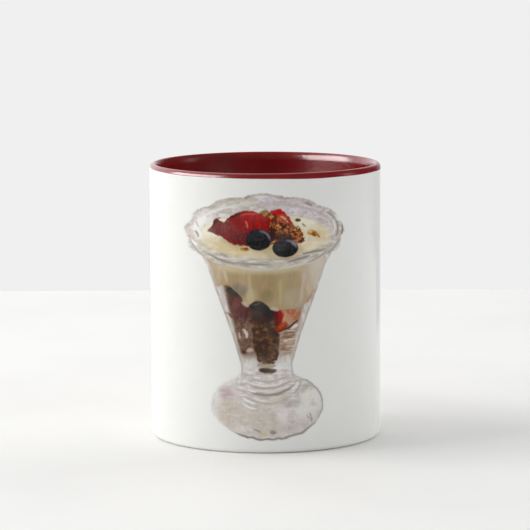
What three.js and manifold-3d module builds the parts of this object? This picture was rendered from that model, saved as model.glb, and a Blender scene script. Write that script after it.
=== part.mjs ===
// A straight-sided stoneware mug with a rounded lip, a flat foot ring round a shallow recess,
// and a strap handle. Cup and handle are one fired body, so they are one solid.
// Millimetres, +Z up. The mug stands on z = 0, with the handle towards +Y and the decorated
// front towards -Y. The origin is under the middle of the whole mug, handle included.

import * as THREE from "three";
import { mergeVertices } from "three/addons/utils/BufferGeometryUtils.js";
import Module from "manifold-3d";

// The cup.
const CUP_RADIUS = 40.65;
const CUP_HEIGHT = 96.5;
const WALL = 4.3; // side wall, below the taper towards the lip
const LIP = 2.8; // wall at the lip, which is rounded over in a half circle
const LIP_TAPER = 24; // height over which the wall thins towards the lip
const FLOOR_TOP = 7.6; // inner floor above the table
const INNER_CORNER = 9; // radius between the inner floor and the wall
const FOOT_EDGE = 1.7; // radius round the outside of the foot
const FOOT_RING = 4.4; // width of the flat ring that the mug stands on
const RECESS_DEPTH = 2.0; // underside, inside the foot ring
const RECESS_SLOPE = 2.2; // width of the slope from the foot ring up to the recess

// The handle: a strap of oval section, bent into an ear and flared where it joins the cup.
const HANDLE_REACH = 36; // from the cup's wall to the outside of the handle
const STRAP_WIDTH = 12.6;
const STRAP_THICKNESS = 8.4;
const ROOT_TOP = 77.6; // height of the strap's middle where it meets the cup
const ROOT_BOTTOM = 22.0;
const BELLY = 57; // height at which the handle stands furthest out
const ROOT_FLARE = 0.42; // how much wider the strap is at the wall
const ROOT_LENGTH = 9; // length of each flare

// How finely the round shapes are cut into flat faces.
const TURN_SEGMENTS = 80;
const ARC_SEGMENTS = 4;
const STRAP_SIDES = 10;
const STRAP_STEPS = 36;

const wasm = await Module();
wasm.setup();

// A closed geometry as a solid that can be joined.
function solid(geometry) {
  const bare = geometry.clone();
  bare.deleteAttribute("normal");
  bare.deleteAttribute("uv");
  const merged = mergeVertices(bare, 1e-4);
  return new wasm.Manifold(
    new wasm.Mesh({
      numProp: 3,
      vertProperties: merged.attributes.position.array,
      triVerts: new Uint32Array(merged.index.array),
    }),
  );
}

// A solid as a geometry again.
function geometryOf(body) {
  const mesh = body.getMesh();
  const geometry = new THREE.BufferGeometry();
  geometry.setAttribute("position", new THREE.BufferAttribute(mesh.vertProperties, 3));
  geometry.setIndex(new THREE.BufferAttribute(mesh.triVerts, 1));
  geometry.computeVertexNormals();
  return geometry;
}

// The cup's section from the middle of its underside, up the outside, over the lip and down the
// inside to the middle of its floor, turned about the axis.
function cup() {
  const lipRadius = LIP / 2;
  const lipCentre = CUP_HEIGHT - lipRadius;
  const wallInside = CUP_RADIUS - WALL;
  const ringInside = CUP_RADIUS - FOOT_EDGE - FOOT_RING;
  const section = new THREE.Path();
  section.moveTo(0, RECESS_DEPTH);
  section.lineTo(ringInside - RECESS_SLOPE, RECESS_DEPTH);
  section.lineTo(ringInside, 0);
  section.lineTo(CUP_RADIUS - FOOT_EDGE, 0);
  section.absarc(CUP_RADIUS - FOOT_EDGE, FOOT_EDGE, FOOT_EDGE, -Math.PI / 2, 0, false);
  section.absarc(CUP_RADIUS - lipRadius, lipCentre, lipRadius, 0, Math.PI, false);
  section.bezierCurveTo(
    CUP_RADIUS - LIP,
    CUP_HEIGHT - LIP_TAPER / 2,
    wallInside,
    CUP_HEIGHT - LIP_TAPER / 2,
    wallInside,
    CUP_HEIGHT - LIP_TAPER,
  );
  section.absarc(
    wallInside - INNER_CORNER,
    FLOOR_TOP + INNER_CORNER,
    INNER_CORNER,
    0,
    -Math.PI / 2,
    true,
  );
  section.lineTo(0, FLOOR_TOP);
  const turned = new THREE.LatheGeometry(section.getPoints(ARC_SEGMENTS), TURN_SEGMENTS);
  return turned.rotateX(Math.PI / 2);
}

// The middle line of the strap, in the plane x = 0, from its upper root to its lower one.
// Both ends lie inside the cup's wall.
function strapLine() {
  const root = CUP_RADIUS - WALL / 2;
  const out = CUP_RADIUS + HANDLE_REACH - STRAP_THICKNESS / 2;
  const line = new THREE.CurvePath();
  line.add(
    new THREE.CubicBezierCurve3(
      new THREE.Vector3(0, root, ROOT_TOP),
      new THREE.Vector3(0, root + 17, ROOT_TOP + 2.5),
      new THREE.Vector3(0, out, ROOT_TOP + 1),
      new THREE.Vector3(0, out, BELLY),
    ),
  );
  line.add(
    new THREE.CubicBezierCurve3(
      new THREE.Vector3(0, out, BELLY),
      new THREE.Vector3(0, out, BELLY - 19),
      new THREE.Vector3(0, root + 22, ROOT_BOTTOM + 3),
      new THREE.Vector3(0, root, ROOT_BOTTOM),
    ),
  );
  return line;
}

// A straight oval bar, bent along the strap's line and widened towards both roots.
function handle() {
  const line = strapLine();
  const length = line.getLength();
  const oval = new THREE.Shape();
  oval.absellipse(0, 0, STRAP_WIDTH / 2, STRAP_THICKNESS / 2, 0, 2 * Math.PI, false);
  const bar = new THREE.ExtrudeGeometry(oval, {
    depth: 1,
    steps: STRAP_STEPS,
    curveSegments: STRAP_SIDES,
    bevelEnabled: false,
  });
  const across = new THREE.Vector3(1, 0, 0);
  const position = bar.getAttribute("position");
  for (let i = 0; i < position.count; i++) {
    const along = Math.min(Math.max(position.getZ(i), 0), 1);
    const fromRoot = Math.min(along, 1 - along) * length - WALL / 2;
    const nearness = Math.max(0, 1 - Math.max(fromRoot, 0) / ROOT_LENGTH);
    const spread = 1 + ROOT_FLARE * nearness * nearness;
    const place = line.getPointAt(along);
    const inward = across.clone().cross(line.getTangentAt(along)).negate();
    place.addScaledVector(across, position.getX(i) * spread);
    place.addScaledVector(inward, position.getY(i) * spread);
    position.setXYZ(i, place.x, place.y, place.z);
  }
  return bar;
}

const glaze = new THREE.MeshStandardMaterial({
  name: "white glaze",
  color: 0xf1f1ee,
  roughness: 0.16,
  metalness: 0,
});

const mug = new THREE.Mesh(geometryOf(solid(cup()).add(solid(handle()))), glaze);
mug.name = "mug";
mug.position.y = -HANDLE_REACH / 2;

const part = new THREE.Group();
part.add(mug);

export default part;
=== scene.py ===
"""A two-tone stoneware mug: white glaze outside, dark red glaze inside, on the lip and on the
handle, and a layered fruit dessert printed on the front. Metres, +Z up, the front towards -Y.
"""

import bisect
import math
from contextlib import contextmanager

import bmesh
import bpy
from bpy.props import FloatProperty, FloatVectorProperty, PointerProperty
from bpy.types import Operator, Panel, PropertyGroup
from mathutils import Matrix, Vector


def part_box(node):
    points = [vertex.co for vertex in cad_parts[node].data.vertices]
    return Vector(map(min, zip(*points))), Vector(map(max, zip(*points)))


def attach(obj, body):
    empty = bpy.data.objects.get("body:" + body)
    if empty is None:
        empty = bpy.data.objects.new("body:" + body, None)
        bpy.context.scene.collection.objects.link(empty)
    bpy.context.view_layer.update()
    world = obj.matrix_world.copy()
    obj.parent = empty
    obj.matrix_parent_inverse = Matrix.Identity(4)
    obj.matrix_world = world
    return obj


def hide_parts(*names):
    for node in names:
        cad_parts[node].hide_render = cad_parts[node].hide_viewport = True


bl_info = {
    "name": "Printed Two-Tone Mug",
    "version": (1, 0),
    "blender": (4, 5, 0),
    "location": "View3D > Sidebar > Mug",
    "description": "Builds a glazed stoneware mug with a printed front, piece by piece",
    "category": "Object",
}

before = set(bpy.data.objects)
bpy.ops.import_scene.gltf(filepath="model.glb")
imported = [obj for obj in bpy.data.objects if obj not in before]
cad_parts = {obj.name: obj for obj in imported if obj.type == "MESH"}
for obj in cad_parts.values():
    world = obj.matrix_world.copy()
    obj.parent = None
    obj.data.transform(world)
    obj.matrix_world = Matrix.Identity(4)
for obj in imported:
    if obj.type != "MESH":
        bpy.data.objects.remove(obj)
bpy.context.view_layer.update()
LOW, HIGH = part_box("mug")

MM = 0.001
RADIUS = (HIGH.x - LOW.x) / 2  # of the cup, outside
HEIGHT = HIGH.z
AXIS_Y = LOW.y + RADIUS  # where the cup's axis stands
REACH = HIGH.y - AXIS_Y - RADIUS  # of the handle, out from the cup's wall

PRINT_WIDTH = 68 * MM  # round the front of the cup
PRINT_LOW, PRINT_HIGH = 2.5 * MM, 92.5 * MM

# How far the handle's middle line runs straight on from its roots and from its furthest point,
# and how far it climbs near each root.
UPPER_PULL, LOWER_PULL, BELLY_PULL = 15 * MM, 20 * MM, 19 * MM
UPPER_CLIMB, TOP_CLIMB, LOWER_CLIMB = 2.5 * MM, 1 * MM, 3 * MM

LIGHT_DISTANCE = 1.4  # from the middle of the cup

# How finely round shapes are cut.
CUP_STEPS, FOOT_STEPS = 200, 160
STRAP_SIDES, STRAP_STEPS, STRAP_CURVE = 40, 60, 120


# ---------------------------------------------------------------- what a user would change


def number(name, description, default, **more):
    return FloatProperty(name=name, description=description, default=default, **more)


def length(name, description, default):
    """A length in millimetres, kept in metres."""
    kind = {"precision": 5, "subtype": "DISTANCE", "unit": "LENGTH"}
    return number(name, description, default * MM, **kind)


def angle(name, description, default):
    """An angle in degrees, kept in radians."""
    return number(name, description, math.radians(default), subtype="ANGLE", unit="ROTATION")


def tone(name, description, code):
    """A colour, given as a six-figure code and kept as linear light."""
    return FloatVectorProperty(
        name=name,
        description=description,
        default=linear(code),
        size=4,
        min=0.0,
        max=1.0,
        subtype="COLOR",
    )


def linear(code):
    """The linear red, green, blue and alpha of a six-figure colour code."""
    parts = [int(code[i : i + 2], 16) / 255 for i in (1, 3, 5)]
    light = [p / 12.92 if p <= 0.04045 else ((p + 0.055) / 1.055) ** 2.4 for p in parts]
    return (*light, 1.0)


class MugShape(PropertyGroup):
    wall: length("Wall", "Side wall, below the taper towards the lip", 4.3)
    lip: length("Lip", "Wall at the lip, which is rounded over", 2.8)
    bevel: length("Bevel", "Height of the lip's rounding on the inside", 3.0)
    lip_taper: length("Lip Taper", "Height over which the wall thins towards the lip", 24)
    floor_top: length("Floor", "Inner floor above the table", 7.6)
    inner_corner: length("Inner Corner", "Radius between the floor and the wall", 9)
    foot_edge: length("Foot Edge", "Radius round the outside of the foot", 1.7)
    foot_ring: length("Foot Ring", "Width of the flat ring that the mug stands on", 4.4)
    recess_depth: length("Recess Depth", "Depth of the underside in the foot ring", 2.0)
    recess_slope: length("Recess Slope", "Width of the slope up to the recess", 2.2)
    glaze: length("Glaze", "Thickness of the red glaze layer", 0.3)
    dip: length("Dip", "How far the red glaze runs down the outside", 1.75)
    dip_waver: length("Dip Waver", "How unevenly the red glaze ends", 0.38)
    strap_width: length("Strap Width", "Handle's width", 12.6)
    strap_thickness: length("Strap Thickness", "Handle's thickness", 8.4)
    root_top: length("Upper Root", "Height of the handle's upper root", 77.6)
    root_bottom: length("Lower Root", "Height of the handle's lower root", 22.0)
    belly: length("Belly", "Height at which the handle stands furthest out", 57)
    root_fillet: length("Root Fillet", "Radius of the fillet at the handle's roots", 1.7)
    root_flare: number("Root Flare", "How much wider the strap is at the wall", 0.22)
    flare_length: length("Flare Length", "Length of strap that widens towards each root", 9)


class MugFinish(PropertyGroup):
    white: tone("White Glaze", "Outside of the cup", "#EDEDEA")
    red: tone("Red Glaze", "Inside, lip and handle", "#8B1517")
    clay: tone("Bare Clay", "Unglazed foot ring", "#D6CDBE")


class MugPrint(PropertyGroup):
    glass: tone("Glass", "The printed dessert glass", "#D5CEC9")
    cream: tone("Cream", "Cream heaped to the glass's brim", "#E0D4B8")
    cream_deep: tone("Deep Cream", "Cream seen through the glass", "#AF9A74")
    strawberry: tone("Strawberry", "Strawberries on the cream", "#800D10")
    blueberry: tone("Blueberry", "Blueberries on the cream", "#0E1013")


class MugStage(PropertyGroup):
    floor: tone("Floor", "Table top that the mug stands on", "#F1F0EC")
    backdrop: tone("Backdrop", "Room behind the table", "#F0F0F0")
    camera_back: length("Camera Distance", "From the cup's axis, along the floor", 1072)
    camera_up: length("Camera Height", "Above the floor", 203)
    camera_aside: length("Camera Aside", "From the cup's axis, to the right", -0.19)
    camera_pitch: angle("Camera Pitch", "How far the camera looks down", 7.60)
    camera_roll: angle("Camera Roll", "How far the camera is tipped sideways", -0.24)
    camera_lens: number("Lens", "Focal length", 207.6, subtype="DISTANCE_CAMERA", unit="CAMERA")
    key: number("Key Light", "Power of the window light from the left", 8.0, unit="POWER")
    fill: number("Fill", "Brightness of the room on its lightest side", 0.8)


# ---------------------------------------------------------------- outlines and meshes


def arc(across, up, radius, start, end, steps, tall=None):
    """Points of an arc in the section plane, in degrees, start and end included. It is part of
    a circle, or of an ellipse that is as tall as asked for."""
    angles = [math.radians(start + (end - start) * i / steps) for i in range(steps + 1)]
    rise = radius if tall is None else tall
    return [(across + radius * math.cos(a), up + rise * math.sin(a)) for a in angles]


def bezier(a, b, c, d, steps):
    """Points of a cubic curve in the section plane, its start left out."""
    points = []
    for i in range(1, steps + 1):
        t = i / steps
        s = 1 - t
        weights = (s * s * s, 3 * s * s * t, 3 * s * t * t, t * t * t)
        points.append(tuple(sum(w * p[k] for w, p in zip(weights, (a, b, c, d))) for k in (0, 1)))
    return points


def turned(outline, steps, closed=False):
    """A solid of revolution about the cup's axis, from (radius, height) points."""
    bm = bmesh.new()
    verts = [bm.verts.new((r, AXIS_Y, z)) for r, z in outline]
    pairs = list(zip(verts, verts[1:])) + ([(verts[-1], verts[0])] if closed else [])
    edges = [bm.edges.new(pair) for pair in pairs]
    bmesh.ops.spin(
        bm,
        geom=verts + edges,
        cent=(0, AXIS_Y, 0),
        axis=(0, 0, 1),
        angle=math.tau,
        steps=steps,
        use_merge=True,
    )
    bmesh.ops.remove_doubles(bm, verts=bm.verts, dist=0.002 * MM)
    bmesh.ops.recalc_face_normals(bm, faces=bm.faces)
    return bm


def piece(name, bm, glaze, sharp=40):
    """Makes a mesh a finished piece of the mug, with edges sharper than so many degrees kept."""
    mesh = bpy.data.meshes.new(name)
    bm.to_mesh(mesh)
    bm.free()
    mesh.polygons.foreach_set("use_smooth", [True] * len(mesh.polygons))
    mesh.set_sharp_from_angle(angle=math.radians(sharp))
    mesh.materials.append(glaze)
    made = bpy.data.objects.new(name, mesh)
    bpy.context.scene.collection.objects.link(made)
    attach(made, "root")
    return made


def cup_outline(shape, skin):
    """The cup's lip and inside, from the outside of the lip down to the middle of the inner
    floor, sunk by a skin's thickness below the finished surface."""
    lip, bevel = shape.lip / 2, shape.bevel
    crest, inside = RADIUS - lip, RADIUS - shape.wall
    points = arc(crest, HEIGHT - lip, lip - skin, 0, 90, 10)
    points += arc(crest, HEIGHT - bevel, lip - skin, 90, 180, 18, tall=bevel - skin)[1:]
    points += bezier(
        points[-1],
        (RADIUS - shape.lip + skin, HEIGHT - shape.lip_taper / 2),
        (inside + skin, HEIGHT - shape.lip_taper / 2),
        (inside + skin, HEIGHT - shape.lip_taper),
        12,
    )
    corner = shape.inner_corner
    points += arc(inside - corner, shape.floor_top + corner, corner + skin, 0, -90, 14)
    points.append((0, shape.floor_top - skin))
    return points


# ---------------------------------------------------------------- laying out nodes


class Sheet:
    """A node tree being laid out. Every call adds a node and gives back its output."""

    def __init__(self, tree):
        self.tree = tree

    def add(self, kind, inputs=None, **settings):
        node = self.tree.nodes.new(kind)
        for name, value in settings.items():
            setattr(node, name, value)
        for key, value in (inputs or {}).items():
            self.feed(node.inputs[key], value)
        return node

    def feed(self, socket, value):
        if isinstance(value, bpy.types.NodeSocket):
            self.tree.links.new(value, socket)
        else:
            socket.default_value = value

    def math(self, operation, *values):
        return self.add("ShaderNodeMath", dict(enumerate(values)), operation=operation).outputs[0]

    def times(self, first, *more):
        """The product of any number of values."""
        for value in more:
            first = self.math("MULTIPLY", first, value)
        return first

    def minus(self, one, other):
        return self.math("SUBTRACT", one, other)

    def vector(self, operation, *values, out="Vector"):
        node = self.add("ShaderNodeVectorMath", dict(enumerate(values)), operation=operation)
        return node.outputs[out]

    def scale(self, vector, factor):
        inputs = {"Vector": vector, "Scale": factor}
        return self.add("ShaderNodeVectorMath", inputs, operation="SCALE").outputs["Vector"]

    def join(self, x, y, z=0.0):
        return self.add("ShaderNodeCombineXYZ", {"X": x, "Y": y, "Z": z}).outputs[0]

    def drift(self, vector, scale):
        """A smoothly varying offset across and up, each between about -1 and 1."""
        one = self.noise(vector, scale, 3)
        two = self.noise(self.vector("ADD", vector, (31.0, 17.0, 5.0)), scale, 3)
        return self.vector("MULTIPLY_ADD", self.join(one, two), (2.0, 2.0, 0.0), (-1.0, -1.0, 0.0))

    def chance(self, vector):
        """A random number that is the same wherever the vector is."""
        inputs = {"Vector": vector}
        return self.add("ShaderNodeTexWhiteNoise", inputs, noise_dimensions="3D").outputs["Value"]

    def part(self, vector, axis):
        """One part of a vector. A Separate node would keep room for all three parts, and the
        print's shader has none to spare. For the same reason no colour is used as a vector."""
        unit = [float(axis == other) for other in "xyz"]
        return self.vector("DOT_PRODUCT", vector, unit, out="Value")

    def ease(self, value, low, high, start=0.0, end=1.0):
        """Goes smoothly from start to end as the value goes from low to high."""
        inputs = {"Value": value, "From Min": low, "From Max": high, "To Min": start, "To Max": end}
        settings = {"interpolation_type": "SMOOTHSTEP", "clamp": False}
        return self.add("ShaderNodeMapRange", inputs, **settings).outputs["Result"]

    def mix(self, factor, under, over, kind="MIX"):
        node = self.add("ShaderNodeMix", data_type="RGBA", blend_type=kind)
        for key, value in ((0, factor), (6, under), (7, over)):
            self.feed(node.inputs[key], value)
        return node.outputs[2]

    def noise(self, vector, scale, detail=2.0):
        inputs = {"Vector": vector, "Scale": scale, "Detail": detail}
        return self.add("ShaderNodeTexNoise", inputs).outputs["Fac"]

    def curve(self, value, points):
        """A smooth curve through (value, result) points."""
        low, high = points[0][0], points[-1][0]
        least, most = min(p[1] for p in points), max(p[1] for p in points)
        share = self.math("MULTIPLY_ADD", value, 1 / (high - low), -low / (high - low))
        node = self.add("ShaderNodeFloatCurve", {"Value": share})
        node.mapping.extend = "HORIZONTAL"
        line = node.mapping.curves[0]
        for here, (at, level) in enumerate(points):
            spot = ((at - low) / (high - low), (level - least) / (most - least))
            if 0 < here < len(points) - 1:
                line.points.new(*spot)
            else:
                line.points[0 if here == 0 else len(line.points) - 1].location = spot
        node.mapping.update()
        return self.math("MULTIPLY_ADD", node.outputs["Value"], most - least, least)

    def place(self, tree, **inputs):
        """Places a node group and gives back its outputs. Its inputs are named in small letters."""
        node = self.add("ShaderNodeGroup", node_tree=tree)
        for name, value in inputs.items():
            self.feed(node.inputs[name.replace("_", " ").title()], value)
        return node.outputs


def group(name, inputs, outputs):
    """A new shader node group: its sheet, what comes in, and where its results go."""
    tree = bpy.data.node_groups.new(name, "ShaderNodeTree")
    for title, kind, default in inputs:
        socket = tree.interface.new_socket(title, in_out="INPUT", socket_type="NodeSocket" + kind)
        if default is not None:
            socket.default_value = default
    for title, kind in outputs:
        tree.interface.new_socket(title, in_out="OUTPUT", socket_type="NodeSocket" + kind)
    sheet = Sheet(tree)
    return sheet, sheet.add("NodeGroupInput").outputs, sheet.add("NodeGroupOutput").inputs


def material(name):
    """An empty material with its shader: its sheet, the shader's inputs and the material."""
    made = bpy.data.materials.new(name)
    made.use_nodes = True
    sheet = Sheet(made.node_tree)
    shader = next(n for n in made.node_tree.nodes if n.type == "BSDF_PRINCIPLED")
    return sheet, shader.inputs, made


# ---------------------------------------------------------------- shared effects


def glaze_skin():
    """Fired glaze: a faint orange peel, slow waves, rare pinholes and a mottled tint."""
    inputs = [("Peel", "Float", 1.0), ("Pinholes", "Float", 1.0), ("Seed", "Float", 0.0)]
    outputs = [("Height", "Float"), ("Mottle", "Float"), ("Pinhole", "Float"), ("Sheen", "Float")]
    sheet, given, result = group("Glaze Skin", inputs, outputs)
    place = sheet.add("ShaderNodeTexCoord").outputs["Object"]
    place = sheet.vector("ADD", place, sheet.join(given["Seed"], 0.0, given["Seed"]))
    peel = sheet.noise(place, 620, 2)
    wave = sheet.noise(place, 75, 2)
    mottle = sheet.noise(place, 160, 4)
    spots = {"Vector": place, "Scale": 210.0}
    spot = sheet.add("ShaderNodeTexVoronoi", spots, feature="F1").outputs
    rare = sheet.ease(sheet.chance(spot["Position"]), 0.96, 0.99)
    hole = sheet.times(sheet.ease(spot["Distance"], 0.11, 0.05), rare, given["Pinholes"])
    height = sheet.times(peel, given["Peel"])
    height = sheet.math("MULTIPLY_ADD", wave, 2.2, height)
    sheet.feed(result["Height"], sheet.math("MULTIPLY_ADD", hole, -1.6, height))
    sheet.feed(result["Mottle"], mottle)
    sheet.feed(result["Pinhole"], hole)
    sheet.feed(result["Sheen"], sheet.noise(place, 38, 3))
    return sheet.tree


def bump(sheet, height, depth):
    """Relief from a height, as deep as so many millimetres."""
    inputs = {"Height": height, "Distance": depth * MM, "Strength": 1.0}
    return sheet.add("ShaderNodeBump", inputs).outputs["Normal"]


# ---------------------------------------------------------------- finishes


def finish_white_glaze(sheet, shader, skin, colour):
    """The clear-over-white glaze of the outside, on any base colour."""
    tinted = sheet.mix(sheet.ease(skin["Mottle"], 0.35, 0.75, 0.0, 0.05), colour, linear("#CFCBBF"))
    tinted = sheet.mix(sheet.times(skin["Pinhole"], 0.06), tinted, linear("#8A8478"))
    sheet.feed(shader["Base Color"], tinted)
    sheet.feed(shader["Roughness"], sheet.ease(skin["Sheen"], 0.3, 0.7, 0.14, 0.2))
    sheet.feed(shader["Normal"], bump(sheet, skin["Height"], 0.02))
    shader["IOR"].default_value = 1.5
    shader["Specular IOR Level"].default_value = 0.15


def white_glaze(finish):
    sheet, shader, made = material("White Glaze")
    skin = sheet.place(shared(glaze_skin), peel=1.0, pinholes=1.0, seed=0.0)
    finish_white_glaze(sheet, shader, skin, tuple(finish.white))
    return made


def red_glaze(finish):
    """Dark red glaze, deeper red in mottled patches, under a soft gloss."""
    sheet, shader, made = material("Red Glaze")
    skin = sheet.place(shared(glaze_skin), peel=1.3, pinholes=0.6, seed=3.0)
    deep = sheet.ease(skin["Mottle"], 0.3, 0.7, 0.0, 0.5)
    colour = sheet.mix(deep, tuple(finish.red), linear("#760F12"))
    sheet.feed(shader["Base Color"], colour)
    sheet.feed(shader["Roughness"], sheet.ease(skin["Sheen"], 0.3, 0.7, 0.18, 0.26))
    sheet.feed(shader["Normal"], bump(sheet, skin["Height"], 0.03))
    shader["IOR"].default_value = 1.5
    shader["Specular IOR Level"].default_value = 0.7
    return made


def bare_clay(finish):
    """Fired clay without glaze: dull, finely sandy, with darker grains."""
    sheet, shader, made = material("Bare Clay")
    place = sheet.add("ShaderNodeTexCoord").outputs["Object"]
    grain = sheet.noise(place, 2600, 3)
    cloud = sheet.noise(place, 260, 3)
    sandy = sheet.ease(grain, 0.55, 0.72, 0.0, 0.5)
    colour = sheet.mix(sandy, tuple(finish.clay), linear("#A99B86"))
    colour = sheet.mix(sheet.ease(cloud, 0.4, 0.7, 0.0, 0.4), colour, linear("#C3B7A3"))
    sheet.feed(shader["Base Color"], colour)
    sheet.feed(shader["Roughness"], sheet.ease(grain, 0.2, 0.8, 0.75, 0.95))
    sheet.feed(shader["Normal"], bump(sheet, grain, 0.08))
    return made


def shared(maker, *inputs):
    """The node group or material that a function makes, under the function's own name. It is
    made the first time it is asked for."""
    name = maker.__name__.replace("_", " ").title()
    found = bpy.data.node_groups.get(name) or bpy.data.materials.get(name)
    return found or maker(*inputs)


# ---------------------------------------------------------------- the print's brushes
#
# The print is painted in millimetres: across from the middle of the front, and up from the table.


def print_place():
    """Where a point of the front lies in the print: stirred as by a spoon, wavering a little so
    that no edge is dead straight, and wavering more."""
    outputs = [("Stirred", "Vector"), ("Place", "Vector"), ("Loose", "Vector")]
    sheet, _, result = group("Print Place", [], outputs)
    spot = sheet.add("ShaderNodeTexCoord").outputs["Object"]
    ahead = sheet.minus(AXIS_Y, sheet.part(spot, "y"))
    around = sheet.math("ARCTAN2", sheet.part(spot, "x"), ahead)
    across = sheet.times(around, RADIUS / MM)
    true = sheet.join(across, sheet.math("DIVIDE", sheet.part(spot, "z"), MM))
    stirred = sheet.vector("ADD", true, sheet.scale(sheet.drift(true, 0.7), 0.8))
    fine, slow = sheet.drift(stirred, 0.45), sheet.drift(stirred, 0.22)
    place = sheet.vector("ADD", true, sheet.scale(fine, 0.22))
    loose = sheet.vector("ADD", true, sheet.scale(fine, 0.5))
    loose = sheet.vector("ADD", loose, sheet.scale(slow, 0.7))
    sheet.feed(result["Stirred"], stirred)
    sheet.feed(result["Place"], place)
    sheet.feed(result["Loose"], loose)
    return sheet.tree


def soft_oval():
    """A soft-edged oval: how much of it is at a place, and a line along its edge that is
    strongest where it faces a given way. Along and Across point along its two half axes, each as
    long as one over that half axis."""
    inputs = [("Place", "Vector", None), ("Centre", "Vector", None), ("Size", "Vector", (1, 1, 1))]
    inputs += [("Along", "Vector", (1, 0, 0)), ("Across", "Vector", (0, 1, 0))]
    inputs += [("Soft", "Float", 0.4), ("Strength", "Float", 1.0), ("Width", "Float", 0.5)]
    inputs += [("Facing", "Vector", (1, 0, 0)), ("Spread", "Float", 3.2)]
    outputs = [("Mask", "Float"), ("Line", "Float"), ("Unit", "Vector")]
    sheet, given, result = group("Soft Oval", inputs, outputs)
    off = sheet.vector("SUBTRACT", given["Place"], given["Centre"])
    one = sheet.vector("DOT_PRODUCT", off, given["Along"], out="Value")
    two = sheet.vector("DOT_PRODUCT", off, given["Across"], out="Value")
    unit = sheet.join(one, two)
    reach = sheet.vector("LENGTH", unit, out="Value")
    slope = sheet.vector("LENGTH", sheet.vector("DIVIDE", unit, given["Size"]), out="Value")
    inside = sheet.times(sheet.minus(1.0, reach), reach)
    inside = sheet.math("DIVIDE", inside, slope)  # roughly millimetres in from the edge
    half = sheet.times(given["Soft"], 0.5)
    less = sheet.times(half, -1.0)
    mask = sheet.ease(inside, less, half)
    sheet.feed(result["Mask"], sheet.times(mask, given["Strength"]))
    sheet.feed(result["Unit"], unit)
    edge = sheet.times(given["Width"], 0.5)
    outer = sheet.math("ADD", edge, half)
    inner = sheet.minus(edge, half)
    line = sheet.ease(sheet.math("ABSOLUTE", inside), outer, inner)
    aim = sheet.vector("DOT_PRODUCT", sheet.vector("NORMALIZE", unit), given["Facing"], out="Value")
    away = sheet.math("ARCCOSINE", aim)
    near = sheet.times(given["Spread"], 0.45)
    line = sheet.times(line, sheet.ease(away, given["Spread"], near), given["Strength"])
    sheet.feed(result["Line"], line)
    return sheet.tree


def soft_stroke():
    """A bowed brush stroke between two places, thinner and fainter towards its ends."""
    inputs = [("Place", "Vector", None), ("Start", "Vector", None), ("End", "Vector", None)]
    inputs += [("Width", "Float", 0.5), ("Bow", "Float", 0.0), ("Soft", "Float", 0.4)]
    inputs += [("Strength", "Float", 1.0)]
    sheet, given, result = group("Soft Stroke", inputs, [("Mask", "Float")])
    run = sheet.vector("SUBTRACT", given["End"], given["Start"])
    off = sheet.vector("SUBTRACT", given["Place"], given["Start"])
    long = sheet.vector("LENGTH", run, out="Value")
    ahead = sheet.vector("DOT_PRODUCT", off, sheet.vector("NORMALIZE", run), out="Value")
    share = sheet.math("MAXIMUM", sheet.math("DIVIDE", ahead, long), 0.0)
    share = sheet.math("MINIMUM", share, 1.0)
    side = sheet.part(sheet.vector("CROSS_PRODUCT", sheet.vector("NORMALIZE", run), off), "z")
    arch = sheet.times(share, sheet.minus(1.0, share), 4.0)
    side = sheet.minus(side, sheet.times(arch, given["Bow"]))
    past = sheet.minus(ahead, sheet.times(share, long))
    far = sheet.vector("LENGTH", sheet.join(side, past), out="Value")
    body = sheet.math("POWER", arch, 0.5)
    edge = sheet.times(given["Width"], 0.5, body)
    half = sheet.times(given["Soft"], 0.5)
    mask = sheet.ease(far, sheet.math("ADD", edge, half), sheet.minus(edge, half))
    mask = sheet.times(mask, sheet.ease(arch, 0.0, 0.5), given["Strength"])
    sheet.feed(result["Mask"], mask)
    return sheet.tree


def towards(angle, spread):
    """Which way a line along an oval faces, and how far it reaches round, in degrees."""
    facing = (math.cos(math.radians(angle)), math.sin(math.radians(angle)), 0)
    return {"facing": facing, "spread": math.radians(spread)}


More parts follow.
